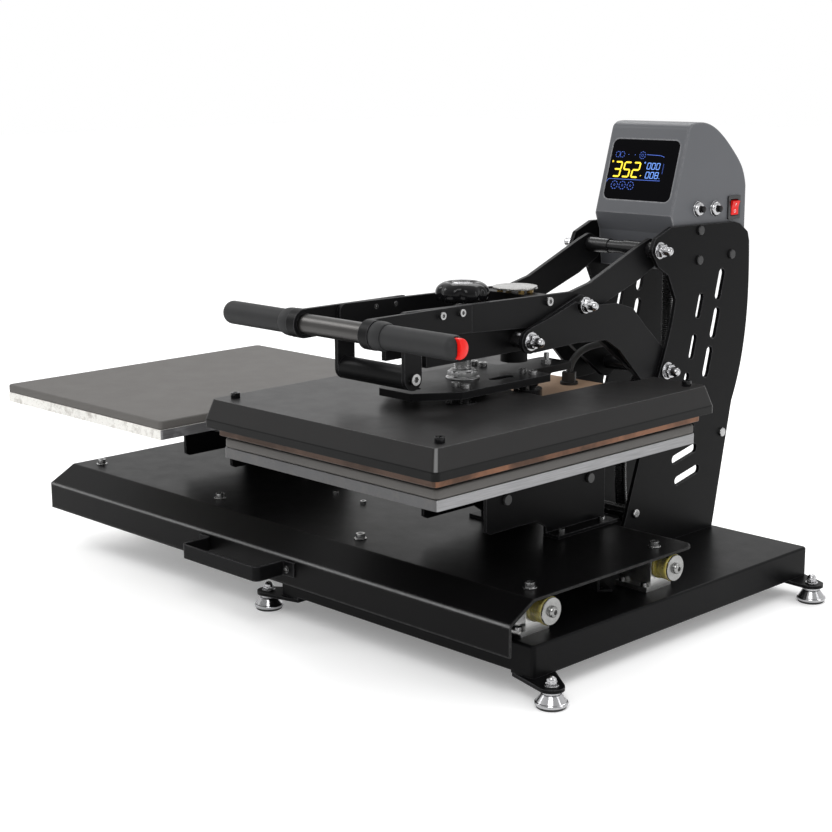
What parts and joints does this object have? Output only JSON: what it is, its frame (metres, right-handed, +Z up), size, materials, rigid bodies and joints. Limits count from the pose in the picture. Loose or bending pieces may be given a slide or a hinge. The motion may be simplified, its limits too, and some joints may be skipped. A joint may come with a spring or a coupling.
{
  "type": "dual station heat press",
  "caption": "Heat press with a sliding shuttle that carries twin lower platens under a toggle-lever heating head with a digital control box.",
  "frame": {"origin": "on the floor at the middle of the whole footprint", "axes": "+X along the shuttle's travel to the right, +Y to the tower at the back, +Z up"},
  "size_m": [1.0932, 0.8261, 0.692],
  "materials": {
    "powder_black": "satin",
    "cover_black": "satin",
    "box_grey": "satin",
    "chrome": "polished",
    "zinc": "satin",
    "shaft_steel": "polished",
    "block_aluminium": "satin",
    "heated_aluminium": "satin",
    "link_steel": "satin",
    "tube_grey": "metallic satin",
    "grip_rubber": "matte",
    "knob_plastic": "gloss",
    "magnet_black": "satin",
    "brass": "satin",
    "bumper_yellow": "translucent satin",
    "silicone_taupe": "matte",
    "board_beige": "fibrous matte",
    "cable_black": "matte",
    "display_glass": "gloss",
    "board_green": "satin",
    "switch_black": "satin",
    "signal_red": "gloss"
  },
  "bodies": {
    "base": {"base_tray": "powder_black", "foot_brackets": "powder_black", "levelling_feet": "chrome", "bearing_blocks": "block_aluminium", "latch_bracket": "powder_black", "tower_plates": "powder_black", "base_screws": "zinc", "tower_shafts": "zinc", "acorn_nuts": "chrome", "control_box": "box_grey", "display_glass": "display_glass", "controller_board": "board_green", "fuse_holders": "chrome", "switch_bezel": "switch_black", "power_inlet": "switch_black", "cable_conduit": "cable_black"},
    "shuttle": {"deck_plate": "powder_black", "guide_rails": "shaft_steel", "rail_supports": "block_aluminium", "end_bumpers": "bumper_yellow", "bumper_bolts": "zinc", "pull_handle": "powder_black", "platen_stands": "powder_black", "deck_screws": "zinc", "lower_platen_right": "block_aluminium", "lower_platen_left": "block_aluminium", "silicone_pad_right": "silicone_taupe", "silicone_pad_left": "silicone_taupe"},
    "handle_lever": {"lever_plates": "powder_black", "handle_plates": "powder_black", "handle_tube": "tube_grey", "hand_grips": "grip_rubber", "front_crossbar": "powder_black", "lever_crossbar": "powder_black", "strike_plate": "chrome", "strike_standoffs": "brass", "lever_screws": "zinc"},
    "release_button": {"release_button": "signal_red"},
    "platen_arm": {"arm_cheeks": "powder_black", "arm_frame": "powder_black", "electromagnet": "magnet_black", "front_pivot_shaft": "zinc", "heater_cable": "cable_black"},
    "toggle_link": {"toggle_links": "link_steel", "knee_studs": "zinc"},
    "heater_head": {"heated_platen": "heated_aluminium", "insulation_board": "board_beige", "cable_gland": "cable_black", "heater_cover": "cover_black", "head_posts": "powder_black", "hanger_plate": "powder_black", "head_bolts": "zinc", "screw_collar": "zinc"},
    "pressure_knob": {"pressure_screw": "shaft_steel", "pressure_knob": "knob_plastic", "knob_cap": "chrome"},
    "power_rocker": {"rocker_switch": "signal_red"},
    "fuse_cap_front": {"fuse_cap_front": "switch_black"},
    "fuse_cap_rear": {"fuse_cap_rear": "switch_black"}
  },
  "joints": [
    {"name": "shuttle_slide", "type": "slide", "parent": "base", "child": "shuttle", "axis": [1, 0, 0], "range_m": [0, 0.5507]},
    {"name": "handle_hinge", "type": "hinge", "parent": "base", "child": "handle_lever", "pos_m": [0.2501, 0.18845, 0.513], "axis": [-1, 0, 0], "range_deg": [0, 80]},
    {"name": "arm_hinge", "type": "hinge", "parent": "base", "child": "platen_arm", "pos_m": [0.2501, 0.21245, 0.334], "axis": [-1, 0, 0], "range_deg": [0, 36.6]},
    {"name": "link_hinge", "type": "hinge", "parent": "platen_arm", "child": "toggle_link", "pos_m": [0.2501, -0.08055, 0.4125], "axis": [-1, 0, 0], "range_deg": [-67, 0]},
    {"name": "pressure_turn", "type": "hinge", "parent": "heater_head", "child": "pressure_knob", "pos_m": [0.2501, -0.13955, 0.48], "axis": [0, 0, 1], "range_deg": [-361, 541]},
    {"name": "pressure_slide", "type": "slide", "parent": "platen_arm", "child": "heater_head", "axis": [0, 0, 1], "range_m": [-0.0025, 0.00375]},
    {"name": "button_press", "type": "slide", "parent": "handle_lever", "child": "release_button", "axis": [-1, 0, 0], "range_m": [0, 0.003], "stiffness_N_per_m": 400, "springref_m": -0.002},
    {"name": "rocker_tilt", "type": "hinge", "parent": "base", "child": "power_rocker", "pos_m": [0.3156, 0.37545, 0.5625], "axis": [0, -1, 0], "range_deg": [0, 14]},
    {"name": "fuse_front_twist", "type": "hinge", "parent": "base", "child": "fuse_cap_front", "pos_m": [0.3276, 0.28545, 0.5658], "axis": [1, 0, 0], "range_deg": [0, 90]},
    {"name": "fuse_rear_twist", "type": "hinge", "parent": "base", "child": "fuse_cap_rear", "pos_m": [0.3276, 0.32745, 0.5638], "axis": [1, 0, 0], "range_deg": [0, 90]}
  ],
  "couplings": [
    {"joint": "arm_hinge", "follows": "handle_hinge", "ratio": 0.456},
    {"joint": "link_hinge", "follows": "handle_hinge", "ratio": -0.834},
    {"joint": "pressure_turn", "follows": "pressure_slide", "rad_per_m": 2513.3}
  ]
}
